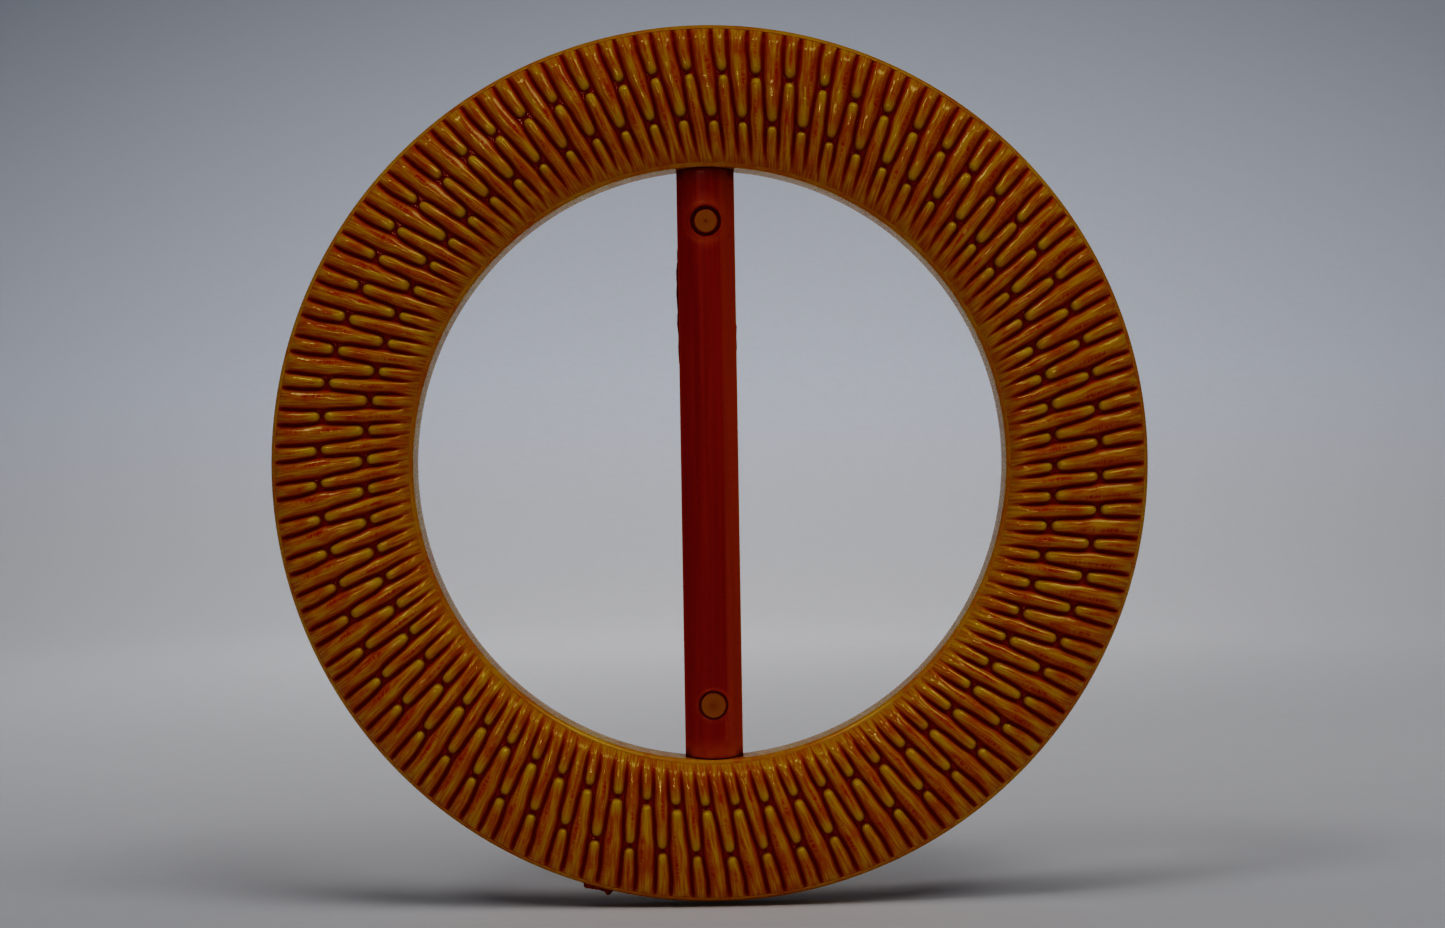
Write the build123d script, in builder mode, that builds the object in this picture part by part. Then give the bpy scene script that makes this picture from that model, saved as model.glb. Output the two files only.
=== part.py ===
"""Round woven-cane-look slide buckle: a ring with one centre bar, moulded in amber plastic.

Units are millimetres. The ring's axis is Y and its show face looks along -Y. +Z is up, along the bar.
The origin is the middle of the bar, half way through the rim's thickness.
Angles around the ring are in degrees, clockwise from the top as seen from the show face.
"""

import os
from math import cos, degrees, radians, sin

from build123d import *

# ------------------------------------------------------------------ driving dimensions

# Ring
outer_radius = 32.0          # overall diameter 64
inner_radius_front = 21.66   # the inner wall has a little draft, so the hole is tighter at the back
inner_radius_back = 21.56
rim_half_depth = 1.15        # the walls and the bar lie between -1.15 and +1.15 in Y
edge_round = 0.08            # front edges of the two walls
back_round = 0.3             # outer back edge

# Weave: canes lie in a domed trough between two narrow sloping lips
weave_outer = 31.7
weave_inner = 22.05
weave_middle = (weave_outer + weave_inner) / 2
crown_front = -2.85          # highest line of the weave
crown_shoulder = -2.30       # where the low crown turns down towards the lips
shoulder_half = 4.00         # half the width between the two shoulders
shoulder_bulge = 0.10        # how full the turned-down part is
crown_edge = -1.50           # where the crown meets the lips
trough_edge = -1.10          # the trough floor beside the lips
trough_top = -2.25           # the level part of the floor, under the crown
trough_flat_half = 2.3       # half the width of that level part
repeats = 72
pitch = 360 / repeats
weave_turn = 0.94            # turns the first repeat to where it stands beside the bar
groove_width = 0.22
end_bulge = 0.18             # how far a cane's rounded end stands ahead of its corners

# Two grooves wander inwards through each repeat, given as angles at four radii: outer lip, first row
# of cane ends, second row of cane ends, inner lip.
first_row = 28.35
second_row = 25.05
stations = (weave_outer, first_row, second_row, weave_inner)
groove_a = (0.05, 0.92, 1.60, 2.80)
groove_b = (2.15, 2.78, 4.35, 5.75)

# Centre bar: a low trapezium in section, with two ejector-pin marks on its front
bar_top_half = 0.8
bar_base_half = 2.1
bar_edge_depth = 1.40        # square side left behind the slope
mark_height = 17.7           # distance of each mark from the middle of the bar
upper_mark_radius = 0.82
upper_moat_radius = 1.15
upper_moat_depth = 0.25
upper_dot_radius = 0.15
lower_mark_radius = 0.93
lower_moat_radius = 1.03
lower_moat_depth = 0.12

# Moulding leftovers
gate_start = 193.5           # gate scar on the outer rim, lower left
gate_end = 197.6
gate_tooth = 194.15
gate_height = 0.46
gate_tooth_height = 0.64
gate_front = -0.25
gate_back = 0.95
flash_depth = 0.14           # films of plastic squeezed out at the back edge


# ------------------------------------------------------------------ helpers

def on_face(radius, angle):
    """Point of the show face, in the coordinates of a sketch on Plane.XZ."""
    return (radius * sin(radians(angle)), radius * cos(radians(angle)))


def around(prototype, count):
    """Copies of a solid set evenly round the ring."""
    return [prototype.rotate(Axis.Y, weave_turn + 360 * index / count) for index in range(count)]


def trough_floor():
    """Draw the floor of the trough in a section of the ring, from the outer lip to the inner lip."""
    Polyline(
        (weave_outer, trough_edge),
        (weave_middle + trough_flat_half, trough_top),
        (weave_middle - trough_flat_half, trough_top),
        (weave_inner, trough_edge),
    )


def cane(left_groove, right_groove, first, last):
    """One cane between two grooves, running inwards from one station to another.

    An end at a lip is square and butts against the lip. An end inside the weave is rounded.
    """
    left_side = []
    right_side = []
    for index in range(first, last + 1):
        radius = stations[index]
        if index == first and first > 0:
            radius -= groove_width / 2 + end_bulge
        if index == last and last < 3:
            radius += groove_width / 2 + end_bulge
        gap = degrees(groove_width / 2 / radius)
        left_side.append(on_face(radius, left_groove[index] + gap))
        right_side.append(on_face(radius, right_groove[index] - gap))
    head_angle = (left_groove[first] + right_groove[first]) / 2
    tip_angle = (left_groove[last] + right_groove[last]) / 2
    head_radius = stations[first] - (groove_width / 2 if first > 0 else 0)
    tip_radius = stations[last] + (groove_width / 2 if last < 3 else 0)

    with BuildPart() as solid:
        with BuildSketch(Plane.XZ):
            with BuildLine():
                Polyline(*left_side)
                ThreePointArc(left_side[-1], on_face(tip_radius, tip_angle), right_side[-1])
                Polyline(*right_side)
                ThreePointArc(left_side[0], on_face(head_radius, head_angle), right_side[0])
            make_face()
        extrude(amount=-crown_front + 1)
        add(weave_band.part, mode=Mode.INTERSECT)
    return solid.part


# ------------------------------------------------------------------ ring

with BuildPart() as ring_frame:
    with BuildSketch(Plane.XY) as ring_section:
        with BuildLine():
            Polyline(
                (weave_inner, trough_edge),
                (weave_inner, crown_edge),
                (inner_radius_front, -rim_half_depth),
                (inner_radius_back, rim_half_depth),
                (outer_radius, rim_half_depth),
                (outer_radius, -rim_half_depth),
                (weave_outer, crown_edge),
                (weave_outer, trough_edge),
            )
            trough_floor()
        make_face()
        front_corners = ring_section.vertices().filter_by_position(
            Axis.Y, -rim_half_depth - 0.01, -rim_half_depth + 0.01
        )
        fillet(front_corners, edge_round)
        back_corners = ring_section.vertices().group_by(Axis.Y)[-1]
        fillet(back_corners.sort_by(Axis.X)[-1], back_round)
    revolve(axis=Axis.Y)
ring_frame.part.label = "ring_frame"

# The domed space that the canes fill, from the trough floor to the crown.
with BuildPart() as weave_band:
    with BuildSketch(Plane.XY):
        with BuildLine():
            Line((weave_inner, trough_edge), (weave_inner, crown_edge))
            inner_shoulder = (weave_middle - shoulder_half, crown_shoulder)
            outer_shoulder = (weave_middle + shoulder_half, crown_shoulder)
            rolled_half = (weave_outer - weave_middle + shoulder_half) / 2 + shoulder_bulge
            rolled_front = (crown_shoulder + crown_edge) / 2 - shoulder_bulge
            ThreePointArc((weave_inner, crown_edge), (weave_middle - rolled_half, rolled_front), inner_shoulder)
            ThreePointArc(inner_shoulder, (weave_middle, crown_front), outer_shoulder)
            ThreePointArc(outer_shoulder, (weave_middle + rolled_half, rolled_front), (weave_outer, crown_edge))
            Line((weave_outer, crown_edge), (weave_outer, trough_edge))
            trough_floor()
        make_face()
    revolve(axis=Axis.Y)

# ------------------------------------------------------------------ canes

next_groove_a = tuple(angle + pitch for angle in groove_a)

with BuildPart() as short_outer_canes:
    add(around(cane(groove_a, groove_b, 0, 1), repeats))
short_outer_canes.part.label = "short_outer_canes"

with BuildPart() as long_inner_canes:
    add(around(cane(groove_a, groove_b, 1, 3), repeats))
long_inner_canes.part.label = "long_inner_canes"

with BuildPart() as long_outer_canes:
    add(around(cane(groove_b, next_groove_a, 0, 2), repeats))
long_outer_canes.part.label = "long_outer_canes"

with BuildPart() as short_inner_canes:
    add(around(cane(groove_b, next_groove_a, 2, 3), repeats))
short_inner_canes.part.label = "short_inner_canes"

# ------------------------------------------------------------------ centre bar

# The hole's own shape trims the bar, so its ends sit flush on the drafted wall.
with BuildPart() as hole:
    with BuildSketch(Plane.XY):
        Polygon(
            (0, -rim_half_depth),
            (inner_radius_front, -rim_half_depth),
            (inner_radius_back, rim_half_depth),
            (0, rim_half_depth),
            align=None,
        )
    revolve(axis=Axis.Y)

with BuildPart() as center_bar:
    with BuildSketch(Plane.XY):
        Polygon(
            (-bar_base_half, rim_half_depth),
            (-bar_base_half, rim_half_depth - bar_edge_depth),
            (-bar_top_half, -rim_half_depth),
            (bar_top_half, -rim_half_depth),
            (bar_base_half, rim_half_depth - bar_edge_depth),
            (bar_base_half, rim_half_depth),
            align=None,
        )
    extrude(amount=inner_radius_front + 1, both=True)
    add(hole.part, mode=Mode.INTERSECT)
    bar_front = Plane.XZ.offset(rim_half_depth)
    with BuildSketch(bar_front):
        with Locations((0, mark_height)):
            Circle(upper_moat_radius)
            Circle(upper_mark_radius, mode=Mode.SUBTRACT)
            Circle(upper_dot_radius)
    extrude(amount=-upper_moat_depth, mode=Mode.SUBTRACT)
    with BuildSketch(bar_front):
        with Locations((0, -mark_height)):
            Circle(lower_moat_radius)
            Circle(lower_mark_radius, mode=Mode.SUBTRACT)
    extrude(amount=-lower_moat_depth, mode=Mode.SUBTRACT)
center_bar.part.label = "center_bar"

# ------------------------------------------------------------------ moulding leftovers

# Broken-off gate: a low strip along the rim with one taller tooth.
with BuildPart() as gate_scar:
    with BuildSketch(Plane.XZ.offset(-gate_back)):
        with BuildLine():
            Polyline(
                on_face(outer_radius, gate_end),
                on_face(outer_radius + gate_height, gate_end - 0.25),
                on_face(outer_radius + gate_height * 0.75, gate_end - 1.4),
                on_face(outer_radius + gate_height * 0.75, gate_tooth + 0.6),
                on_face(outer_radius + gate_tooth_height, gate_tooth),
                on_face(outer_radius + gate_height * 0.4, gate_tooth - 0.4),
                on_face(outer_radius, gate_start),
            )
            ThreePointArc(
                on_face(outer_radius, gate_end),
                on_face(outer_radius, (gate_start + gate_end) / 2),
                on_face(outer_radius, gate_start),
            )
        make_face()
    extrude(amount=gate_back - gate_front)
gate_scar.part.label = "gate_scar"

# Thin ragged films along the back edges of the bar.
with BuildPart() as bar_flash:
    with BuildSketch(Plane.XZ.offset(-rim_half_depth)):
        with BuildLine():
            Polyline(
                (-bar_base_half, 6.9),
                (-bar_base_half - 0.12, 7.4),
                (-bar_base_half - 0.10, 9.3),
                (-bar_base_half - 0.20, 10.1),
                (-bar_base_half - 0.17, 12.6),
                (-bar_base_half - 0.21, 14.0),
                (-bar_base_half - 0.09, 15.8),
                (-bar_base_half, 16.3),
                close=True,
            )
        make_face()
        with BuildLine():
            Polyline(
                (bar_base_half, 7.9),
                (bar_base_half + 0.09, 8.4),
                (bar_base_half + 0.06, 9.5),
                (bar_base_half + 0.10, 10.2),
                (bar_base_half, 10.6),
                close=True,
            )
        make_face()
    extrude(amount=flash_depth)
bar_flash.part.label = "bar_flash"

# ------------------------------------------------------------------ export

os.makedirs("parts", exist_ok=True)
export_step(ring_frame.part, "parts/ring_frame.step")
export_step(short_outer_canes.part, "parts/short_outer_canes.step")
export_step(long_outer_canes.part, "parts/long_outer_canes.step")
export_step(short_inner_canes.part, "parts/short_inner_canes.step")
export_step(long_inner_canes.part, "parts/long_inner_canes.step")
export_step(center_bar.part, "parts/center_bar.step")
export_step(gate_scar.part, "parts/gate_scar.step")
export_step(bar_flash.part, "parts/bar_flash.step")
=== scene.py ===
"""Round slide buckle with a woven-cane look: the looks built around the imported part.

Lengths in this script are millimetres and angles are degrees until a mesh is made. Blender objects
are in metres. The ring's axis is Y, its show face looks along -Y, and +Z is up along the bar.
Angles round the ring run clockwise from the top, as seen from the show face.
"""

import math

import bmesh
import bpy
import numpy as np
from mathutils import Matrix, Vector


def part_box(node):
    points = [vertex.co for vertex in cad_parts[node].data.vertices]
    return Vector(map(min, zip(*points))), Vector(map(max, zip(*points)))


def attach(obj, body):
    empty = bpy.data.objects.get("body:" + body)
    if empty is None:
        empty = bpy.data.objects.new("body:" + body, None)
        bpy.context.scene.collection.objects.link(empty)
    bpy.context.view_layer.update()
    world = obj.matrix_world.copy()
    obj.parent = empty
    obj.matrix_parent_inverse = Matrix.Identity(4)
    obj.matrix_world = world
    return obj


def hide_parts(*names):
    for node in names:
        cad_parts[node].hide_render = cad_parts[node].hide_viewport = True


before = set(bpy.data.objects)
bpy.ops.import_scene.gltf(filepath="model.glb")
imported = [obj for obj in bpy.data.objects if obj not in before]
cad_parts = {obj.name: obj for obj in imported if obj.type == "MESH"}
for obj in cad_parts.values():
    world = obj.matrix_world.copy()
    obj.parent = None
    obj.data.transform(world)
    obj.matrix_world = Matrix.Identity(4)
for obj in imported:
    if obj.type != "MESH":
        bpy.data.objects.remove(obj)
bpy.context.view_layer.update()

MM = 0.001
FRONT = -1.0                 # the show face looks along -Y

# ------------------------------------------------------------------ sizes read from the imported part


def node_box(node):
    """Lowest and highest corner of a CAD node, in millimetres."""
    low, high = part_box(node)
    return np.array(low) / MM, np.array(high) / MM


ring_low, ring_high = node_box("ring_frame")
bar_low, bar_high = node_box("center_bar")
gate_low, gate_high = node_box("gate_scar")
cane_low, _ = node_box("long_outer_canes")

OUTER_RADIUS = min(ring_high[0], ring_high[2]) - 0.001
BACK = ring_high[1]                       # the flat back's Y
BAR_FRONT = -bar_low[1]                   # how far the bar's front stands ahead of the origin
BAR_HALF_WIDTH = bar_high[0]
HOLE_FRONT = bar_high[2]                  # the hole's radius at the front edge of its wall
HOLE_BACK = HOLE_FRONT - 0.10             # the wall has a little draft, so the hole is tighter at the back
CROWN_TOP = -cane_low[1] - 0.02           # a hair inside the CAD crown, to leave room for ripples

# ------------------------------------------------------------------ the weave's layout

REPEATS = 72
PITCH = 360 / REPEATS
TURN = 0.94                  # turns the first repeat to where it stands beside the bar
WEAVE_OUTER = 31.72
WEAVE_INNER = 22.03
WEAVE_MIDDLE = (WEAVE_OUTER + WEAVE_INNER) / 2
CROWN_HALF = (WEAVE_OUTER - WEAVE_INNER) / 2
CANE_INNER = 21.90           # the canes run out a little way onto the inner lip
CROWN_SHOULDER = 2.28        # height of the low crown where it turns down towards the lips
SHOULDER_HALF = 4.00         # half the width between those two shoulders
CROWN_EDGE = 1.50            # height where the crown meets the lips
ROLL_START = SHOULDER_HALF - 0.12
ROLL_POWER = 2.1             # how sharply the crown turns down past there
LIP_FRONT = 1.13             # front edge of the two walls
ROW_ONE = 28.35              # radius where short outer canes meet the long inner ones
ROW_TWO = 25.05              # radius where long outer canes meet the short inner ones
ROW_TILT = 0.15              # a row's end gaps lean: the anticlockwise end sits this much further in
GROOVE_DEPTH = 0.59
GROOVE_FLOOR = 0.055         # half width of a groove's flat bottom

# The two grooves of one repeat, as angles at these radii.
STATIONS = np.array([22.0, 23.3, 24.3, 25.05, 26.15, 27.35, 28.35, 28.85, 30.25, 31.6])
GROOVES = (
    np.array([2.82, 2.39, 1.93, 1.55, 1.33, 1.05, 0.93, 0.73, 0.21, 0.05]),
    np.array([5.66, 4.97, 4.62, 4.38, 3.76, 3.28, 2.78, 2.69, 2.42, 2.20]),
)
WANDER = ((0.022, 3.1), (0.009, 1.2))     # swings of a groove: degrees either way, and length of the wave
PLACE_SPREAD = 0.035                      # unevenness of the grooves, in degrees, and of the rows, in mm

rng = np.random.RandomState(64)
groove_shift = rng.normal(0, PLACE_SPREAD, (2, REPEATS))
groove_phase = rng.uniform(0, 2 * math.pi, (4, REPEATS))
row_shift = rng.normal(0, PLACE_SPREAD, (2, REPEATS))


def hermite(x, knots, values):
    """Smooth curve through the values at the knots. The knots are in rising order."""
    slopes = np.gradient(values, knots)
    i = np.clip(np.searchsorted(knots, x) - 1, 0, len(knots) - 2)
    width = knots[i + 1] - knots[i]
    t = (x - knots[i]) / width
    return (
        (2 * t**3 - 3 * t**2 + 1) * values[i]
        + (t**3 - 2 * t**2 + t) * width * slopes[i]
        + (3 * t**2 - 2 * t**3) * values[i + 1]
        + (t**3 - t**2) * width * slopes[i + 1]
    )


def groove(which, repeat, radius):
    """Angle of a groove's centre line. Each groove wanders a little in its own way."""
    angle = hermite(radius, STATIONS, GROOVES[which]) + groove_shift[which, repeat % REPEATS]
    phases = groove_phase[2 * which : 2 * which + 2, repeat % REPEATS]
    for (swing, wave), phase in zip(WANDER, phases):
        angle = angle + swing * np.sin(radius * 2 * math.pi / wave + phase)
    return angle + PITCH * repeat


def smooth_step(x):
    """0 below 0, 1 above 1, and an even rise in between."""
    x = np.clip(x, 0, 1)
    return x * x * (3 - 2 * x)


def low_crown(across):
    """The shallow arc over the middle of the weave."""
    height = CROWN_TOP - CROWN_SHOULDER
    arc_radius = (SHOULDER_HALF**2 + height**2) / (2 * height)
    return CROWN_TOP - arc_radius + np.sqrt(arc_radius**2 - across**2)


ROLL_DROP = float(low_crown(CROWN_HALF)) - CROWN_EDGE


def crown(radius):
    """How far the face stands ahead of the origin: a shallow arc that rolls over towards both lips."""
    across = np.abs(np.asarray(radius) - WEAVE_MIDDLE)
    past = np.clip((across - ROLL_START) / (CROWN_HALF - ROLL_START), 0, None)
    return low_crown(across) - ROLL_DROP * past**ROLL_POWER


def groove_depth(radius):
    """Depth of the grooves. They get shallow close to the outer lip, and run out on the inner one."""
    outer_fade = smooth_step((WEAVE_OUTER + 0.30 - radius) / 0.95)
    inner_fade = np.clip((radius - CANE_INNER + 0.05) / 2.4, 0, 1) ** 0.8
    return GROOVE_DEPTH * outer_fade * inner_fade


# ------------------------------------------------------------------ mesh helpers


def polar(radius, angle, ahead):
    """Points from a radius, an angle and how far they stand ahead of the origin."""
    turn = np.radians(angle)
    radius, turn, ahead = np.broadcast_arrays(radius, turn, ahead)
    return np.stack([radius * np.sin(turn), FRONT * ahead, radius * np.cos(turn)], axis=-1)


def make_object(name, points, faces, smooth=True):
    """A closed mesh with its faces turned outwards, linked into the scene."""
    mesh = bpy.data.meshes.new(name)
    mesh.from_pydata((np.asarray(points).reshape(-1, 3) * MM).tolist(), [], faces)
    shell = bmesh.new()
    shell.from_mesh(mesh)
    bmesh.ops.recalc_face_normals(shell, faces=shell.faces)
    shell.to_mesh(mesh)
    shell.free()
    mesh.update()
    if smooth:
        mesh.polygons.foreach_set("use_smooth", [True] * len(mesh.polygons))
    made = bpy.data.objects.new(name, mesh)
    bpy.context.collection.objects.link(made)
    return made


def paint(made, name, values):
    """Store one RGBA value per vertex, for the materials to read."""
    layer = made.data.attributes.new(name, "FLOAT_COLOR", "POINT")
    layer.data.foreach_set("color", np.asarray(values, dtype=np.float32).reshape(-1))


def grid_faces(rows, columns, start=0, flip=False):
    """Quads of a grid of points, counted row by row from start."""
    faces = []
    for r in range(rows - 1):
        for c in range(columns - 1):
            a = start + r * columns + c
            quad = (a, a + 1, a + columns + 1, a + columns)
            faces.append(quad[::-1] if flip else quad)
    return faces


# ------------------------------------------------------------------ canes


def ease(count, share):
    """Steps from 0 to 1 that crowd towards both ends by the given share."""
    t = np.linspace(0, 1, count + 1)
    return (1 - share) * t + share * (0.5 - 0.5 * np.cos(math.pi * t))


END_LENGTH = 0.52            # length over which a rounded end falls away
END_GAP = 0.08               # half the width of the flat gap between two ends
SHOULDER = 1.5               # length over which it begins to dip before that
END_DIP = 0.10               # how far it dips
BLUNT = 2.5                  # how square the corners of a rounded end are
FLANK = 0.62                 # how steep a cane's flanks are: 0.5 would be an ellipse
FORK_DEPTH = 0.075           # the furrow that opens towards a forked end
FORK_WIDTH = 0.14            # as a share of the cane's width
RIPPLE = 0.009               # height of the ribs along a cane, and of its uneven crest
RIPPLE_SINK = 0.017          # lowers the crest, so that the ripples stay inside the CAD crown
ROOT = 0.12                  # how far a cane reaches below the grooves
STREAK_WIDTH = 0.11          # as a share of the cane's width


def fork(radius, across, start, length):
    """A shallow furrow down the middle of a cane, which opens towards one of its ends."""
    off_line = (across - 0.5) / FORK_WIDTH
    return FORK_DEPTH * smooth_step((radius - start) / length) * np.exp(-(off_line**2))


def red_streak(radius, across, phase, where, outer, inner):
    """Strength of the broken red streak along a cane's crest, from its outer to its inner radius."""
    off_line = (across - where) / STREAK_WIDTH
    off_middle = 1.9 * (radius - (outer + inner) / 2) / (outer - inner)
    broken = 0.5 + 0.5 * np.sin(radius * 2.3 + phase * 2)
    return np.exp(-(off_line**2)) * np.exp(-(off_middle**4)) * (0.45 + 0.55 * broken)


def cane_faces(rows, columns):
    """Faces of one closed cane, and its border: the rows and the columns of its top grid's edge cells.

    The cane's points are its top grid, then one point under each border cell. Its faces are the top
    grid, a skirt below the border, a ladder of quads underneath and two caps that close the ladder.
    """
    last_row, last = rows - 1, columns - 1
    border = [(0, c) for c in range(columns)]
    border += [(r, last) for r in range(1, rows)]
    border += [(last_row, c) for c in range(last - 1, -1, -1)]
    border += [(r, 0) for r in range(last_row - 1, 0, -1)]
    under = {cell: rows * columns + i for i, cell in enumerate(border)}
    faces = grid_faces(rows, columns)
    for (r, c), (r2, c2) in zip(border, border[1:] + border[:1]):
        faces.append((r2 * columns + c2, r * columns + c, under[r, c], under[r2, c2]))
    for r in range(last_row):
        faces.append((under[r + 1, 0], under[r + 1, last], under[r, last], under[r, 0]))
    faces.append([under[0, c] for c in range(last, -1, -1)])
    faces.append([under[last_row, c] for c in range(columns)])
    return faces, tuple(zip(*border))


def by_vertex(top, under, border):
    """Rows in the order of the vertices: each cane's top grid, then what lies under its border."""
    top_rows = top.reshape(REPEATS, -1, top.shape[-1])
    under_rows = under[:, border[0], border[1]]
    return np.concatenate([top_rows, under_rows], axis=1).reshape(-1, top.shape[-1])


def canes(name, sides, row_out, row_in, steps, streak, furrow=None):
    """All the canes of one family, each a closed domed piece.

    sides names the grooves to its left and right, each as (which, repeat offset). row_out and row_in
    are 0 or 1 for a rounded end at that row, or None for an end that runs out into a lip.
    steps counts the faces along and across a cane.
    streak is (across, outer radius, inner radius) of the deeper red streak along the crest.
    furrow is the radius where a forked end's furrow starts, and the length over which it opens.
    """
    (left, left_offset), (right, right_offset) = sides
    n_along, n_across = steps
    repeat = np.arange(REPEATS)[:, None, None]
    along = ease(n_along, 0.55)[None, :, None]
    across = ease(n_across, 0.6)[None, None, :]
    rows = (ROW_ONE, ROW_TWO)
    tilt = ROW_TILT * (across - 0.5)
    radius_out = WEAVE_OUTER if row_out is None else rows[row_out] + row_shift[row_out][repeat] + tilt
    radius_in = CANE_INNER if row_in is None else rows[row_in] + row_shift[row_in][repeat] + tilt
    radius = radius_out + (radius_in - radius_out) * along + 0 * across

    angle_left = groove(left, repeat + left_offset, radius)
    angle_right = groove(right, repeat + right_offset, radius)
    angle = angle_left + (angle_right - angle_left) * across + TURN
    half_width = np.radians(angle_right - angle_left) * radius / 2

    # rise runs from 0 in the grooves to 1 along the crest
    side = np.abs(2 * across - 1) * (1 + GROOVE_FLOOR / half_width)
    end = np.zeros_like(radius)
    shoulder = np.zeros_like(radius)
    for row, distance in ((row_out, radius_out - radius), (row_in, radius - radius_in)):
        if row is not None:
            end = np.maximum(end, np.clip(1 - (distance - END_GAP) / END_LENGTH, 0, None))
            shoulder = np.maximum(shoulder, np.clip(1 - distance / SHOULDER, 0, 1))
    off_centre = np.minimum((side**BLUNT + end**BLUNT) ** (1 / BLUNT), 1)
    rise = (1 - off_centre**2) ** FLANK

    # small liveliness: faint ribs along the cane, and a slow uneven crest
    own = rng.uniform(0, 2 * math.pi, (4, REPEATS, 1, 1))
    ribs = np.sin(across * 17 + own[0] + 1.6 * np.sin(radius * 1.9 + own[1]))
    crest = np.sin(radius * 3.3 + own[2]) + 0.6 * np.sin(radius * 6.1 + across * 2 + own[3])
    depth = groove_depth(radius)
    ahead = crown(radius) - depth * (1 - rise) - END_DIP * shoulder**2 * rise
    ahead += rise * (depth / GROOVE_DEPTH) * (RIPPLE * (ribs + crest) - RIPPLE_SINK)
    if furrow:
        ahead -= rise * fork(radius, across, *furrow)
    floor = crown(radius) - np.maximum(depth, 0.1) - ROOT

    shape, border = cane_faces(n_along + 1, n_across + 1)
    size = radius[0].size + len(border[0])
    faces = [tuple(i + k * size for i in face) for k in range(REPEATS) for face in shape]
    points = by_vertex(polar(radius, angle, ahead), polar(radius, angle, floor), border)
    made = make_object(name, points, faces)

    tip = smooth_step(shoulder)
    red = red_streak(radius, across, own[3], *streak)
    chance = np.broadcast_to(rng.uniform(0, 1, (REPEATS, 1, 1)), radius.shape)
    # painted shade: how dark the grooves are painted, 1 on the crests; it fades out more slowly than the
    # relief towards the lips
    groove_shade = 1 - (1 - rise) * np.clip(depth / (0.75 * GROOVE_DEPTH), 0, 1)
    look = np.stack([groove_shade, tip, red, chance], axis=-1)
    grain = np.stack([across * 2 * half_width, radius, chance * 40, np.ones_like(radius)], axis=-1)
    paint(made, "look", by_vertex(look, look, border))
    paint(made, "grain", by_vertex(grain, grain, border))
    return made


BETWEEN = ((0, 0), (1, 0))                # from a repeat's first groove to its second
BESIDE = ((1, 0), (0, 1))                 # from its second groove to the next repeat's first

short_outer = canes("cane_short_outer", BETWEEN, None, 0, steps=(36, 18), streak=(0.5, 30.8, 29.3))
long_inner = canes(
    "cane_long_inner", BETWEEN, 0, None, steps=(64, 18), streak=(0.42, 26.9, 23.3), furrow=(23.9, -1.3)
)
long_outer = canes(
    "cane_long_outer", BESIDE, None, 1, steps=(64, 20), streak=(0.68, 30.6, 27.0), furrow=(30.1, 1.2)
)
short_inner = canes("cane_short_inner", BESIDE, 1, None, steps=(36, 18), streak=(0.5, 24.4, 23.2))

# ------------------------------------------------------------------ ring body


def round_corner(before, corner, after, radius, steps=5):
    """Points of a rounded corner of a section, from one leg to the other."""
    before, corner, after = (np.array(p, dtype=float) for p in (before, corner, after))
    one = (before - corner) / np.linalg.norm(before - corner)
    two = (after - corner) / np.linalg.norm(after - corner)
    start, end = corner + one * radius, corner + two * radius
    t = np.linspace(0, 1, steps + 1)[:, None]
    return ((1 - t) ** 2 * start + 2 * t * (1 - t) * corner + t**2 * end).tolist()


def lip_points(start, edge):
    """A lip's sloping face, from where the canes end to the edge of the wall."""
    height = float(crown(start))
    return [(start + (edge[0] - start) * t, height + (edge[1] - height) * t**1.3) for t in (0, 0.3, 0.6)]


RING_STEPS = 720
TROUGH = (22.05, 31.6)       # inner and outer radius of the trough under the canes
TROUGH_DROP = 0.10           # how far its floor lies below the grooves


def trough_floor(radius):
    """How far the trough's floor stands ahead of the origin."""
    return float(crown(radius)) - max(float(groove_depth(radius)), 0.06) - TROUGH_DROP


def ring_section():
    """Closed section of the ring body, as (radius, ahead of the origin) points."""
    trough = [(r, trough_floor(r)) for r in np.linspace(*TROUGH, 24)]
    front_in, front_out = (HOLE_FRONT, LIP_FRONT), (OUTER_RADIUS, LIP_FRONT)
    back_in, back_out = (HOLE_BACK, -BACK), (OUTER_RADIUS, -BACK)
    lip_in = lip_points(CANE_INNER + 0.04, front_in)
    lip_out = lip_points(WEAVE_OUTER - 0.04, front_out)
    section = list(lip_in)
    section += round_corner(lip_in[-1], front_in, back_in, 0.09)
    for t in (0.75, 0.5, 0.25):
        section.append((HOLE_BACK + (HOLE_FRONT - HOLE_BACK) * t, -BACK * (1 - t) + LIP_FRONT * t))
    section += round_corner(front_in, back_in, back_out, 0.07)
    section += [(r, -BACK) for r in np.linspace(22.2, 31.3, 9)]
    section += round_corner(back_in, back_out, front_out, 0.3, 6)
    section += [(OUTER_RADIUS, ahead) for ahead in (-0.5, 0.0, 0.5)]
    section += round_corner(back_out, front_out, lip_out[-1], 0.10)
    section += list(reversed(lip_out))
    section += list(reversed(trough))
    return np.array(section)


def make_ring():
    """The ring body: its section turned about the axis, and its trough painted darker red as painted shade
    in the gaps between the canes.
    """
    section = ring_section()
    count = len(section)
    turns = np.arange(RING_STEPS) * 360 / RING_STEPS
    points = polar(section[None, :, 0], turns[:, None], section[None, :, 1])
    faces = []
    for step in range(RING_STEPS):
        here, there = step * count, (step + 1) % RING_STEPS * count
        for i in range(count):
            j = (i + 1) % count
            faces.append((here + i, here + j, there + j, there + i))
    made = make_object("ring_body", points, faces)
    radius, ahead = section.T
    look = np.zeros((RING_STEPS, count, 4))
    # painted shade: the trough, seen between the canes, is painted darker red
    look[..., 0] = (radius > TROUGH[0] - 0.01) & (radius < TROUGH[1] + 0.01) & (ahead > 0)
    paint(made, "look", look)
    return made


ring_body = make_ring()

# ------------------------------------------------------------------ centre bar

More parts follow.
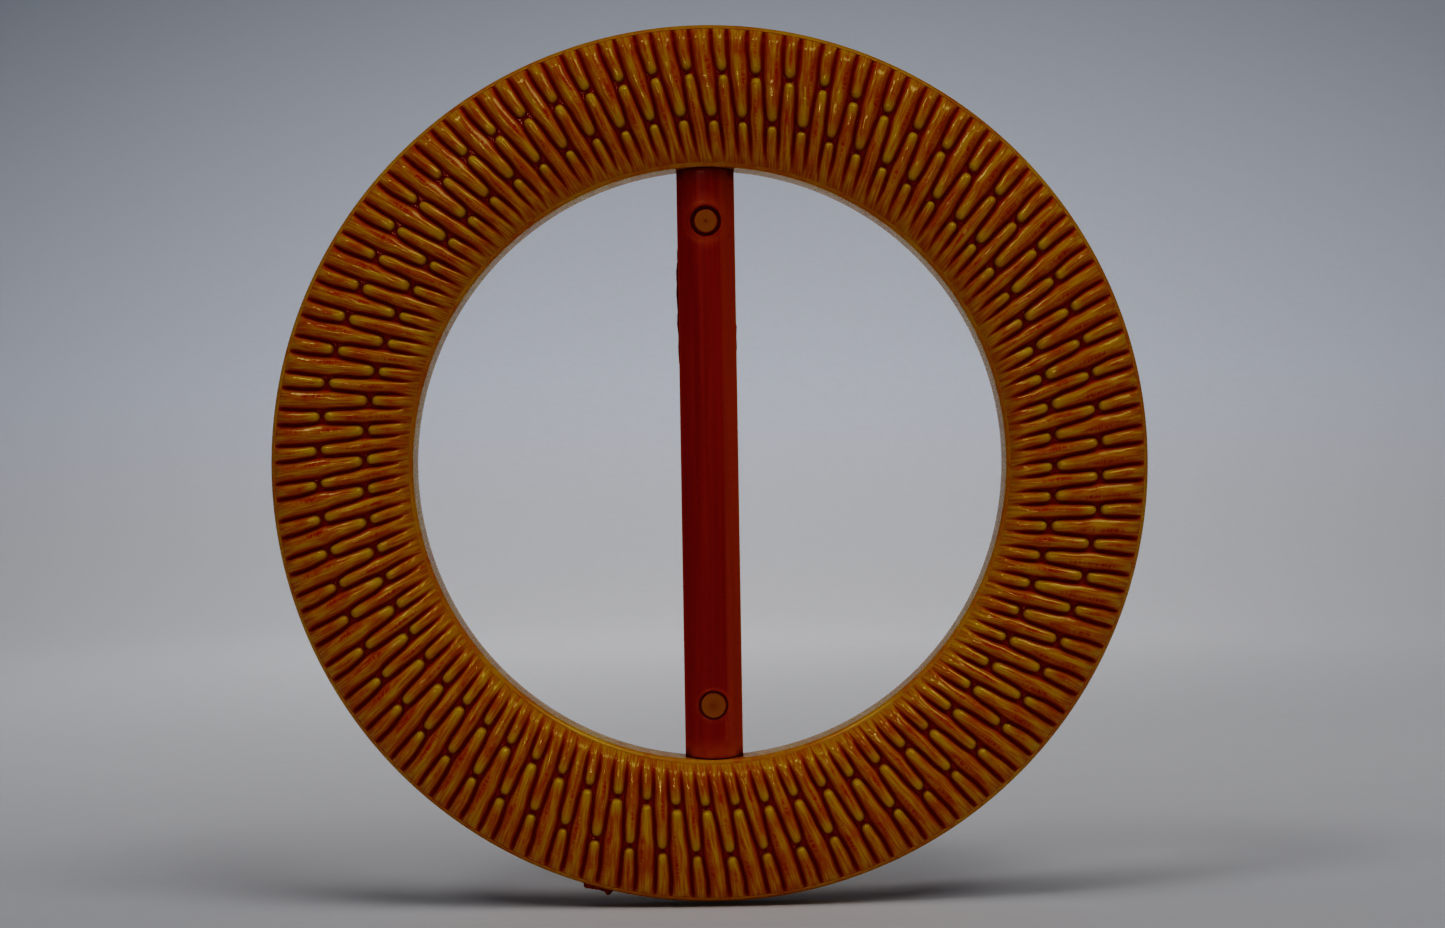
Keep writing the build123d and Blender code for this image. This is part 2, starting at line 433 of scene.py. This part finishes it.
BAR_TOP_HALF = 0.8           # half the width of the flat top
BAR_EDGE = 1.40              # depth of the square sides behind the slopes
BAR_ROUND = 5                # how sharply the flat top turns into the slopes
MARK_HEIGHT = 17.7           # distance of each ejector-pin mark from the middle of the bar
UPPER_DISC = 0.86            # radius of the upper mark's flat disc
LOWER_DISC = 0.95
DISC_SINK = 0.07             # how far the discs lie below the bar's front

# The bar's end rows: how far each stops short of the wall, and how far it dips into the seam there.
END_ROWS = ((0.0, 0.16), (0.05, 0.16), (0.12, 0.02), (0.3, 0.0))


def bar_ahead(x):
    """Front surface of the bar across its width: a flat top, and two sloping sides."""
    slope = (np.abs(x) - BAR_TOP_HALF) / (BAR_HALF_WIDTH - BAR_TOP_HALF)
    fall = np.logaddexp(0, slope * BAR_ROUND) / np.logaddexp(0, BAR_ROUND)
    return BAR_FRONT - 0.01 - (BAR_FRONT + BACK - BAR_EDGE) * fall


def bump(distance, width):
    """A soft spot or line: 1 at no distance, falling away within the width."""
    return np.exp(-((distance / width) ** 2))


def from_marks(x, z):
    """Distances from the middles of the upper and the lower mark."""
    return np.hypot(x, z - MARK_HEIGHT), np.hypot(x, z + MARK_HEIGHT)


def mark_relief(x, z):
    """Ejector-pin marks. The upper one has a wide moat and a centre dot, the lower a fine ring."""
    up, down = from_marks(x, z)
    relief = -0.20 * smooth_step((up - 0.80) / 0.1) * smooth_step((1.17 - up) / 0.16)
    relief -= 0.05 * bump(up, 0.12)
    relief += 0.03 * bump(up - 1.28, 0.1)
    relief -= 0.13 * bump(down - 0.97, 0.075)
    relief += 0.03 * bump(down - 1.13, 0.08)
    return relief


def inside_disc(x, z):
    """1 on the marks' discs, which are flat and so cut into the sloping sides, and 0 around them."""
    up, down = from_marks(x, z)
    return np.maximum(smooth_step((UPPER_DISC - up) / 0.06), smooth_step((LOWER_DISC - down) / 0.05))


def bar_end(columns, side):
    """Rows of points at one end, inwards from the drafted wall of the hole. side is 1 at the top."""
    ahead = bar_ahead(columns)
    wall = HOLE_BACK + (HOLE_FRONT - HOLE_BACK) * (ahead + BACK) / (BAR_FRONT + BACK)
    reach = np.sqrt(wall**2 - columns**2)
    rows = []
    for short, dip in END_ROWS:
        rows.append(np.stack([columns, FRONT * (ahead - dip), side * (reach - short)], axis=-1))
    return rows


def bar_front_sheet():
    """Grid of points over the bar's front, row by row from its bottom end to its top end."""
    columns = np.linspace(-1, 1, 72) * BAR_HALF_WIDTH
    fine = np.arange(-1.5, 1.501, 0.055)                 # close rows, for the marks
    middle = np.concatenate([fine - MARK_HEIGHT, np.linspace(-16.0, 16.0, 70), fine + MARK_HEIGHT])
    x, z = np.meshgrid(columns, np.concatenate([[-20.6, -20.0], middle, [20.0, 20.6]]))
    flat = inside_disc(x, z)
    ahead = (bar_ahead(x) + mark_relief(x, z)) * (1 - flat) + (BAR_FRONT - DISC_SINK) * flat
    ahead = np.minimum(ahead, BAR_FRONT - 0.004)
    sag = 0.012 * np.sin(z * 0.45 + 0.6) + 0.006 * np.sin(z * 1.3 + x * 0.8)
    ahead += np.minimum(sag, 0) * (1 - flat)
    rows = np.stack([x, FRONT * ahead, z], axis=-1)
    return np.concatenate([bar_end(columns, -1), rows, bar_end(columns, 1)[::-1]])


def bar_colors(x, z):
    """Paint for the bar's front: discs, amber edges with painted light on the right, thin places and a
    painted glow of light at the ends, and shade.
    """
    disc = inside_disc(x, z)
    up, down = from_marks(x, z)
    # painted light: the amber edges are painted stronger on the right, where more light falls
    edge = smooth_step((np.abs(x) - 1.92) / 0.17) * np.where(x > 0, 1.0, 0.4)
    edge = np.maximum(edge, 0.45 * smooth_step((x - 0.9) / 0.3))       # painted light: the right slope is painted brighter amber

    above_below = ((z - MARK_HEIGHT) / np.maximum(up, 0.01)) ** 2
    halo = (0.2 + 0.6 * above_below) * bump(up - 1.45, 0.30) + 0.4 * bump(down - 1.22, 0.12)
    scratch_ends = smooth_step((-18.55 - z) / 0.3) * smooth_step((z + 20.6) / 0.4)
    scratch = 0.7 * bump(x - 0.93, 0.11) * scratch_ends
    # painted light: a glow at the bottom end, fainter at the top, where light comes off the ring
    painted_end_light = smooth_step((-z - 19.9) / 1.7) + 0.15 * smooth_step((z - 20.4) / 1.0)
    # thin holds the amber thin places and the painted end light
    thin = np.clip(painted_end_light + halo * (1 - disc) + scratch, 0, 1)

    rings = smooth_step((up - 0.84) / 0.1) * smooth_step((1.22 - up) / 0.18) + bump(down - 0.99, 0.09)
    dots = 0.8 * bump(up, 0.13) + 0.35 * bump(down, 0.35)
    seam = np.zeros_like(disc)
    seam[:2], seam[-2:] = 1, 1                           # the dipped rows at both ends
    notch = smooth_step((np.abs(x) - 1.45) / 0.5) * smooth_step((np.abs(z) - 20.9) / 0.5)
    under_lip = 0.5 * smooth_step((z - 20.5) / 0.9)
    shade = np.clip(rings + dots + seam + notch + under_lip, 0, 1)
    return np.stack([disc, edge, thin, shade], axis=-1).reshape(-1, 4)


def make_bar():
    """The bar: its front sheet, and sides that run straight from the sheet's border to the flat back."""
    front = bar_front_sheet()
    back = front.copy()
    back[:, :, 1] = BACK
    rows, columns = front.shape[:2]
    lower = rows * columns
    faces = grid_faces(rows, columns) + grid_faces(rows, columns, lower, flip=True)
    for r in range(rows - 1):
        a, b = r * columns, (r + 1) * columns
        faces.append((a, b, lower + b, lower + a))
        a, b = a + columns - 1, b + columns - 1
        faces.append((b, a, lower + a, lower + b))
    for c in range(columns - 1):
        faces.append((c + 1, c, lower + c, lower + c + 1))
        a = (rows - 1) * columns + c
        faces.append((a, a + 1, lower + a + 1, lower + a))
    made = make_object("bar", np.concatenate([front.reshape(-1, 3), back.reshape(-1, 3)]), faces)
    look = bar_colors(front[..., 0], front[..., 2])
    back_look = look * (0, 1, 0, 0)                      # the back has the amber edges alone
    paint(made, "look", np.concatenate([look, back_look]))
    return made


bar = make_bar()

# ------------------------------------------------------------------ gate scar and flash


SLAB_STEP = 0.07             # spacing of the points along a torn edge
SLAB_LAYERS = 7


def torn_slab(name, outline, front, back, roughness, seed):
    """A small closed slab with a torn, uneven edge. outline holds (x, z) points, anticlockwise."""
    local = np.random.RandomState(seed)
    outline = np.array(outline)
    fine_line = []
    for start, end in zip(outline, np.roll(outline, -1, axis=0)):
        steps = max(2, int(np.linalg.norm(end - start) / SLAB_STEP))
        for t in np.arange(steps) / steps:
            fine_line.append(start + (end - start) * t + local.normal(0, roughness, 2) * (t > 0))
    fine_line = np.array(fine_line)
    centre = fine_line.mean(axis=0)
    points, faces = [], []
    count = len(fine_line)
    for t in np.linspace(0, 1, SLAB_LAYERS):
        shrink = 1 - 0.10 * abs(2 * t - 1) ** 3
        shift = local.normal(0, roughness * 0.7, fine_line.shape)
        ring_line = centre + (fine_line - centre) * shrink + shift
        depth_at = back + (front - back) * t + local.normal(0, roughness, count)
        points.append(np.stack([ring_line[:, 0], depth_at, ring_line[:, 1]], axis=-1))
    for layer in range(SLAB_LAYERS - 1):
        a, b = layer * count, (layer + 1) * count
        for i in range(count):
            j = (i + 1) % count
            faces.append((a + i, a + j, b + j, b + i))
    faces.append(list(range(count))[::-1])
    faces.append([(SLAB_LAYERS - 1) * count + i for i in range(count)])
    return make_object(name, np.concatenate(points), faces, smooth=False)


def on_rim(height, angle):
    """Point (x, z) at a height above the rim."""
    radius = OUTER_RADIUS + height
    return (radius * math.sin(math.radians(angle)), radius * math.cos(math.radians(angle)))


# The broken-off gate, as (height above the rim, angle): a low strip with one taller tooth.
GATE = (
    (-0.15, 197.6), (0.20, 197.65), (0.47, 197.5), (0.50, 197.2), (0.44, 196.7), (0.42, 196.2),
    (0.35, 195.6), (0.37, 195.1), (0.36, 194.7), (0.52, 194.4), (0.64, 194.2), (0.60, 194.0),
    (0.30, 193.7), (0.05, 193.5), (-0.15, 193.5), (-0.15, 194.5), (-0.15, 195.5), (-0.15, 196.5),
)
# The films beside the bar, as (how far they stick out from its edge, height).
LEFT_FILM = (
    (0.0, 16.25), (0.10, 15.7), (0.08, 15.1), (0.19, 14.2), (0.16, 13.4), (0.20, 12.6),
    (0.13, 11.4), (0.18, 10.3), (0.09, 9.4), (0.12, 8.3), (0.07, 7.4), (0.0, 7.0),
)
RIGHT_FILM = ((0.0, 8.0), (0.08, 8.5), (0.05, 9.3), (0.09, 10.1), (0.0, 10.5))
FILM_ROOT = BAR_HALF_WIDTH - 0.04         # the films start a little inside the bar's edge
FILM_FRONT = BACK - 0.13
FILM_BACK = BACK - 0.03

gate_outline = [on_rim(height, angle) for height, angle in GATE]
gate = torn_slab("gate_stub", gate_outline, gate_low[1] + 0.04, gate_high[1] - 0.04, 0.014, seed=3)
left_outline = [(-FILM_ROOT - out, height) for out, height in LEFT_FILM]
film_left = torn_slab("flash_left", left_outline, FILM_FRONT, FILM_BACK, 0.006, seed=5)
right_outline = [(FILM_ROOT + out, height) for out, height in RIGHT_FILM]
film_right = torn_slab("flash_right", right_outline, FILM_FRONT, FILM_BACK, 0.005, seed=6)

# ------------------------------------------------------------------ materials


class Recipe:
    """A material under construction: small helpers that add nodes and join them up.

    Where a helper takes a value, it may be a number, a colour or another node's output.
    """

    def __init__(self, name):
        self.material = bpy.data.materials.new(name)
        self.material.use_nodes = True
        self.tree = self.material.node_tree
        self.shader = self.tree.nodes["Principled BSDF"]

    def add(self, kind, **settings):
        made = self.tree.nodes.new("ShaderNode" + kind)
        for key, value in settings.items():
            setattr(made, key, value)
        return made

    def feed(self, socket, value):
        if isinstance(value, bpy.types.NodeSocket):
            self.tree.links.new(value, socket)
        elif hasattr(socket.default_value, "__len__") and len(socket.default_value) == 4 and len(value) == 3:
            socket.default_value = (*value, 1)
        else:
            socket.default_value = value

    def math(self, operation, a, b=0.0, clamp=False):
        made = self.add("Math", operation=operation, use_clamp=clamp)
        self.feed(made.inputs[0], a)
        self.feed(made.inputs[1], b)
        return made.outputs[0]

    def mix(self, share, a, b):
        made = self.add("Mix", data_type="RGBA")
        self.feed(made.inputs["Factor"], share)
        self.feed(made.inputs[6], a)
        self.feed(made.inputs[7], b)
        return made.outputs[2]

    def palette(self, value, stops):
        """A colour ramp through (position, colour) stops, in rising order."""
        made = self.add("ValToRGB")
        self.feed(made.inputs[0], value)
        elements = made.color_ramp.elements
        elements.remove(elements[1])
        elements[0].position = stops[0][0]
        for position, _ in stops[1:]:
            elements.new(position)
        for element, (_, color) in zip(elements, stops):
            element.color = (*color, 1)
        return made.outputs["Color"]

    def ramp(self, value, low, high, to_low=0.0, to_high=1.0):
        """A soft step from to_low, where the value is low, up or down to to_high."""
        made = self.add("MapRange", interpolation_type="SMOOTHSTEP")
        for socket, number in zip(made.inputs, (value, low, high, to_low, to_high)):
            self.feed(socket, number)
        return made.outputs[0]

    def layer(self, name):
        """A painted layer: its vector, its three colour parts, and its alpha."""
        made = self.add("Attribute", attribute_name=name)
        parts = self.add("SeparateColor")
        self.feed(parts.inputs[0], made.outputs["Color"])
        return made.outputs["Vector"], *parts.outputs, made.outputs["Alpha"]

    def place(self, scale=(1, 1, 1), source=None):
        """Coordinates multiplied by scale: a source's, or the object's own, which are in metres."""
        made = self.add("Mapping")
        self.feed(made.inputs["Vector"], source or self.add("TexCoord").outputs["Object"])
        made.inputs["Scale"].default_value = scale
        return made.outputs[0]

    def noise(self, vector, scale, detail=3.0, roughness=0.55):
        made = self.add("TexNoise")
        self.feed(made.inputs["Vector"], vector)
        made.inputs["Scale"].default_value = scale
        made.inputs["Detail"].default_value = detail
        made.inputs["Roughness"].default_value = roughness
        return made.outputs["Fac"]

    def bump(self, height, depth_mm, strength=1.0, after=None):
        made = self.add("Bump")
        made.inputs["Distance"].default_value = depth_mm * MM
        made.inputs["Strength"].default_value = strength
        self.feed(made.inputs["Height"], height)
        if after is not None:
            self.feed(made.inputs["Normal"], after)
        return made.outputs[0]

    def finish(self, color, roughness, normal=None, shine=0.5, tint=(1.0, 1.0, 1.0), glow=0.0):
        """Set the shader. shine and tint are its reflections, and glow its subsurface scattering."""
        self.feed(self.shader.inputs["Base Color"], color)
        self.feed(self.shader.inputs["Roughness"], roughness)
        self.shader.inputs["IOR"].default_value = PLASTIC_IOR
        self.shader.inputs["Specular IOR Level"].default_value = shine
        self.shader.inputs["Specular Tint"].default_value = (*tint, 1)
        self.shader.inputs["Subsurface Weight"].default_value = glow
        self.shader.inputs["Subsurface Radius"].default_value = GLOW_REACH
        self.shader.inputs["Subsurface Scale"].default_value = GLOW_DEPTH * MM
        if normal is not None:
            self.feed(self.shader.inputs["Normal"], normal)
        return self.material


PER_MM = 1 / MM              # scales the object's metres to millimetres
PLASTIC_IOR = 1.49
GLOW_DEPTH = 0.6             # how far light scatters in the plastic
GLOW_REACH = (1.0, 0.35, 0.08)            # and the share of that for red, green and blue
HONEY = (1.0, 0.90, 0.50)    # tint of the reflections in the amber plastic
EMBER = (1.0, 0.80, 0.60)    # and in the red bar

# The plastic's colour by how much light gets through it, from dark red to gold. Driven by the canes' painted
# shade it is painted shade too: dark red in the grooves, gold on the crests.
AMBER_AND_SHADE = (
    (0.00, (0.310, 0.0150, 0.0030)),
    (0.24, (0.370, 0.0600, 0.0040)),
    (0.50, (0.430, 0.1520, 0.0060)),
    (0.76, (0.510, 0.2760, 0.0100)),
    (1.00, (0.545, 0.3560, 0.0140)),
)
STREAK = (0.360, 0.0400, 0.0040)
OLIVE_SHADE = (0.200, 0.0600, 0.0040)      # the rounded ends: painted shade at their foot, olive gold at their top
OLIVE = (0.500, 0.3300, 0.0140)
BAR_DEEP = (0.280, 0.0110, 0.0040)
BAR_RED = (0.360, 0.0300, 0.0050)
# amber where the bar is thin, and also its painted end light
BAR_THIN_AND_LIT = (0.460, 0.1200, 0.0080)
BAR_AMBER = (0.520, 0.1800, 0.0100)        # along the edges, stronger on the right as painted light
BAR_DISC = (0.350, 0.1600, 0.0060)         # on the ejector-pin marks
BAR_SHADE = (0.120, 0.0060, 0.0030)
TORN_DARK = (0.170, 0.0120, 0.0040)
TORN_LIGHT = (0.300, 0.0500, 0.0060)


def cane_plastic(name, streak_strength):
    """Moulded cane: painted shade makes the grooves dark red, with orange fibrous flanks, olive gold ends
    and broken red streaks.
    """
    m = Recipe(name)
    where = m.place((PER_MM,) * 3)
    # rise here is the painted groove shade: 0 in the grooves, 1 on the crests
    _, rise, tip, red, chance = m.layer("look")
    grain, *_ = m.layer("grain")
    fibres = m.noise(m.place((6.5, 0.55, 1), grain), 1.0, 3.0)
    dots = m.noise(m.place((3.0, 5.5, 1), grain), 1.0, 1.0)
    clouds = m.noise(where, 0.4, 2.0)
    body = m.ramp(fibres, 0.3, 0.7, 0.44, 0.76)
    body = m.math("ADD", body, m.ramp(clouds, 0.35, 0.65, -0.05, 0.07))
    # painted shade: the colour darkens to dark red down the flanks into the grooves
    color = m.palette(m.math("MULTIPLY", m.ramp(rise, 0.0, 0.95), body, clamp=True), AMBER_AND_SHADE)
    broken = m.math("MULTIPLY", red, m.ramp(dots, 0.36, 0.62, 0.45, 1.2))
    color = m.mix(m.math("MULTIPLY", broken, streak_strength, clamp=True), color, STREAK)
    # painted shade on the rounded ends, darker towards their foot
    olive = m.mix(m.ramp(rise, 0.0, 0.9), OLIVE_SHADE, OLIVE)
    share = m.math("MULTIPLY", tip, m.ramp(chance, 0, 1, 0.7, 0.95))
    color = m.mix(m.math("MULTIPLY", share, m.ramp(rise, 0.0, 0.25)), color, olive)
    rough = m.ramp(m.noise(where, 5.0), 0.3, 0.75, 0.10, 0.20)
    normal = m.bump(fibres, 0.014, 1.0)
    normal = m.bump(m.noise(where, 6.0, 2.0), 0.005, 0.6, normal)
    return m.finish(color, rough, normal, shine=0.48, tint=HONEY, glow=0.08)


def ring_plastic(name):
    """Lips, walls and back of the ring: smooth moulded amber with faint flow marks, and painted shade on the
    trough under the canes.
    """
    m = Recipe(name)
    where = m.place((PER_MM,) * 3)
    clouds = m.noise(where, 0.18, 3.0)
    flow = m.noise(m.place((PER_MM, PER_MM * 0.2, PER_MM)), 0.9, 4.0, 0.6)
    depth = m.math("ADD", m.ramp(clouds, 0.35, 0.7, 0.59, 0.74), m.ramp(flow, 0.45, 0.8, 0.0, -0.2))
    # painted shade: the trough takes the darkest red
    color = m.mix(m.layer("look")[1], m.palette(depth, AMBER_AND_SHADE), AMBER_AND_SHADE[0][1])
    scuffs = m.noise(m.place((PER_MM * 0.25, PER_MM, PER_MM * 3.0)), 1.6, 5.0, 0.7)
    rough = m.ramp(scuffs, 0.35, 0.75, 0.18, 0.34)
    normal = m.bump(m.noise(where, 1.4, 2.0), 0.010, 0.4)
    normal = m.bump(scuffs, 0.003, 0.4, normal)
    return m.finish(color, rough, normal, shine=0.4, tint=HONEY, glow=0.3)


def bar_plastic(name):
    """The bar: thick, so deep red, with amber where it is thin and on the ejector-pin discs, painted light
    on its right side and at its ends, and painted shade.
    """
    m = Recipe(name)
    where = m.place((PER_MM,) * 3)
    _, disc, edge, thin, shade = m.layer("look")
    streaks = m.noise(m.place((PER_MM * 2.2, PER_MM, PER_MM * 0.06)), 0.8, 4.0, 0.6)
    color = m.mix(m.ramp(streaks, 0.35, 0.72), BAR_DEEP, BAR_RED)
    patchy = m.ramp(m.noise(where, 1.5, 3.0), 0.3, 0.7, 0.55, 1.0)
    # amber where the bar is thin, and its painted end light
    color = m.mix(m.math("MULTIPLY", thin, patchy), color, BAR_THIN_AND_LIT)
    # amber edges, with painted light on the right side
    color = m.mix(m.math("MULTIPLY", edge, 0.7), color, BAR_AMBER)
    color = m.mix(m.math("MULTIPLY", disc, 0.85), color, BAR_DISC)
    color = m.mix(m.math("MULTIPLY", shade, 0.9), color, BAR_SHADE)
    rough = m.ramp(m.noise(where, 2.0, 4.0), 0.3, 0.75, 0.26, 0.40)
    normal = m.bump(m.noise(m.place((PER_MM * 2.0, PER_MM, PER_MM * 0.15)), 1.2, 3.0), 0.006, 0.4)
    return m.finish(color, rough, normal, shine=0.36, tint=EMBER, glow=0.12)


def torn_plastic(name):
    """Torn gate and films: rougher, with paler tears on a dark red ground."""
    m = Recipe(name)
    tears = m.noise(m.place((PER_MM,) * 3), 3.0, 5.0, 0.7)
    color = m.mix(m.ramp(tears, 0.35, 0.7), TORN_DARK, TORN_LIGHT)
    rough = m.ramp(tears, 0.3, 0.8, 0.4, 0.65)
    return m.finish(color, rough, m.bump(tears, 0.03, 0.7), shine=0.3, tint=HONEY, glow=0.08)


finishes = {
    short_outer: cane_plastic("cane_plastic_short_outer", 0.6),
    long_outer: cane_plastic("cane_plastic_long_outer", 1.0),
    long_inner: cane_plastic("cane_plastic_long_inner", 0.9),
    short_inner: cane_plastic("cane_plastic_short_inner", 0.6),
    ring_body: ring_plastic("ring_plastic_amber"),
    bar: bar_plastic("bar_plastic_red"),
    gate: torn_plastic("torn_plastic_gate"),
}
finishes[film_left] = finishes[film_right] = torn_plastic("torn_plastic_film")
for piece, material in finishes.items():
    piece.data.materials.append(material)

# ------------------------------------------------------------------ what each piece stands for

stands_for = (
    (ring_body, "ring_frame", "ring_plastic"),
    (short_outer, "short_outer_canes", "cane_plastic"),
    (long_outer, "long_outer_canes", "cane_plastic"),
    (short_inner, "short_inner_canes", "cane_plastic"),
    (long_inner, "long_inner_canes", "cane_plastic"),
    (bar, "center_bar", "bar_plastic"),
    (gate, "gate_scar", "trim_plastic"),
    (film_left, "bar_flash", "trim_plastic"),
    (film_right, "bar_flash", "trim_plastic"),
)
for piece, node, slot in stands_for:
    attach(piece, "root")
    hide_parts(node)

# ------------------------------------------------------------------ stage, lights and camera

FLOOR = ring_low[2] - 0.3    # the ring stands a little above the floor, as if it were held up
WALL_AWAY = 560.0
COVE = 260.0                 # radius of the curve between floor and wall
OPEN_REACH = 2.2             # how much further the floor reaches on the camera's side
STAGE_STEPS = 96
PAPER_FLOOR = (0.72, 0.71, 0.71)
PAPER_WALL = (0.80, 0.82, 0.865)
PAPER_PAINTED_SHADE = (0.25, 0.275, 0.32)
LIGHT_POOL_MIDDLE = (22.0, -15.0)  # middle of the painted pool of light on the paper, across and up
LIGHT_POOL_SIZE = (260.0, 170.0)


def stage_profile():
    """Floor running back into a wall through a wide cove, as (distance, height) points."""
    points = [(d, 0.0) for d in np.linspace(0, WALL_AWAY - COVE, 8)]
    for turn in np.linspace(6, 90, 15):
        a = math.radians(turn)
        points.append((WALL_AWAY - COVE + COVE * math.sin(a), COVE * (1 - math.cos(a))))
    points += [(WALL_AWAY, h) for h in (330.0, 420.0, 560.0)]
    return points


def stage_paper():
    """Pale paper, slightly blue up the wall, with a painted pool of light: painted shade darkens it towards
    the top, the sides and the front.
    """
    m = Recipe("stage_paper")
    where = m.place((PER_MM,) * 3)
    split = m.add("SeparateXYZ")
    m.feed(split.inputs[0], where)
    across, behind, height = split.outputs
    fibre = m.noise(where, 0.6, 4.0)
    base = m.mix(m.ramp(height, FLOOR, FLOOR + 60), PAPER_FLOOR, PAPER_WALL)
    side, up = (
        m.math("DIVIDE", m.math("SUBTRACT", distance, middle), size)
        for distance, middle, size in zip((across, height), LIGHT_POOL_MIDDLE, LIGHT_POOL_SIZE)
    )
    # painted pool of light: the paper darkens away from its middle
    away = m.math("ADD", m.math("MULTIPLY", side, side), m.math("MULTIPLY", up, up))
    # painted shade: darker towards the front
    near = m.ramp(behind, -40, 90, 0.2, 0.0)
    away = m.math("MINIMUM", m.math("ADD", m.math("MULTIPLY", away, 0.50), near), 0.85)
    shade = m.mix(away, base, PAPER_PAINTED_SHADE)
    shade = m.mix(m.ramp(fibre, 0.3, 0.7, 0.0, 0.05), shade, (0.5, 0.5, 0.5))
    return m.finish(shade, 0.9)


def make_stage():
    """A pale sweep: the wall stands behind and beside the object, and the camera's side is open."""
    profile = stage_profile()
    points, faces = [], []
    for i in range(STAGE_STEPS):
        turn = 2 * math.pi * i / STAGE_STEPS
        behind = math.cos(turn)                      # 1 straight behind the object, -1 towards the camera
        lift = float(smooth_step((behind + 0.35) / 0.5))
        reach = 1 + (1 - lift) * OPEN_REACH
        for d, h in profile:
            points.append((d * reach * math.sin(turn), d * reach * behind, FLOOR + h * lift))
    n = len(profile)
    for i in range(STAGE_STEPS):
        a, b = i * n, (i + 1) % STAGE_STEPS * n
        for j in range(n - 1):
            faces.append((a + j, a + j + 1, b + j + 1, b + j))
    mesh = bpy.data.meshes.new("stage")
    mesh.from_pydata([tuple(c * MM for c in p) for p in points], [], faces)
    mesh.polygons.foreach_set("use_smooth", [True] * len(mesh.polygons))
    made = bpy.data.objects.new("stage", mesh)
    bpy.context.collection.objects.link(made)
    made.data.materials.append(stage_paper())
    return made


make_stage()


def softbox(name, position, size, power, color=(1, 1, 1), aim=(0, 0, 0), only=None):
    """A rectangular light at a position in millimetres, turned towards aim.

    only="sheen" makes it show in reflections alone, and only="fill" in everything but reflections.
    """
    data = bpy.data.lights.new(name, "AREA")
    data.shape = "RECTANGLE"
    data.size, data.size_y = size[0] * MM, size[1] * MM
    data.energy = power
    data.color = color
    made = bpy.data.objects.new(name, data)
    made.location = Vector(position) * MM
    made.rotation_euler = (Vector(aim) - Vector(position)).to_track_quat("-Z", "Y").to_euler()
    made.visible_camera = False
    made.visible_diffuse = only != "sheen"
    made.visible_glossy = only != "fill"
    bpy.context.collection.objects.link(made)


OVERHEAD = (0, -170, 760)
softbox("overhead", OVERHEAD, (420, 300), 1.34, only="fill")
softbox("overhead_sheen", OVERHEAD, (420, 300), 0.60, only="sheen")
softbox("key_left", (-400, -350, 750), (220, 180), 0.88)
softbox("key_right", (350, -360, 770), (420, 300), 1.62)
softbox("crest_strip", (-150, -560, 180), (220, 12), 0.30, color=(1, 0.88, 0.95), only="sheen")
softbox("front_fill", (0, -450, 20), (360, 110), 0.40, aim=(0, 0, -20), only="fill")
softbox("backdrop", (0, 250, 120), (260, 60), 0.096, aim=(0, 400, -15))
softbox("floor_wash", (-60, 130, 150), (160, 100), 0.094, aim=(-50, 330, -20))

world = bpy.data.worlds.new("studio")
world.use_nodes = True
background = world.node_tree.nodes["Background"]
background.inputs["Color"].default_value = (0.52, 0.62, 0.80, 1)
background.inputs["Strength"].default_value = 0.068
bpy.context.scene.world = world

BLACK = 0.06                 # how much the tone curve takes off every tone above the toe
TOE = 0.02                   # how softly it lands on black


def camera_response():
    """Tone curve of the view: deep shades are pressed towards black, and the rest keeps its contrast."""
    view = bpy.context.scene.view_settings
    view.view_transform = "Standard"
    view.use_curve_mapping = True
    curve = view.curve_mapping.curves[3]             # the one for all three channels
    for light in (0.03, 0.06, 0.09, 0.12, 0.16, 0.24, 0.4):
        curve.points.new(light, TOE * math.log1p(math.exp((light - BLACK) / TOE)))
    curve.points[-1].location = (1.0, 1.0 - BLACK)
    view.curve_mapping.update()


camera_response()

# The camera looks square at the show face, a little to the right of the ring's axis, rolled slightly.
CAMERA_AWAY = 171.0          # from the bar's front
CAMERA_RIGHT = 0.94
CAMERA_UP = -0.07
VIEW_WIDTH = 105.47          # width of the view at the bar's front
ROLL = 0.94                  # the camera leans by this many degrees
SENSOR = 36
camera_data = bpy.data.cameras.new("camera")
camera_data.sensor_width = SENSOR
camera_data.lens = SENSOR * CAMERA_AWAY / VIEW_WIDTH
camera_data.clip_start, camera_data.clip_end = 0.01, 10
camera = bpy.data.objects.new("camera", camera_data)
camera.location = Vector((CAMERA_RIGHT, FRONT * (BAR_FRONT + CAMERA_AWAY), CAMERA_UP)) * MM
level = Matrix.Rotation(math.pi / 2, 3, "X")
camera.rotation_euler = (Matrix.Rotation(math.radians(ROLL), 3, "Y") @ level).to_euler()
bpy.context.collection.objects.link(camera)
bpy.context.scene.camera = camera
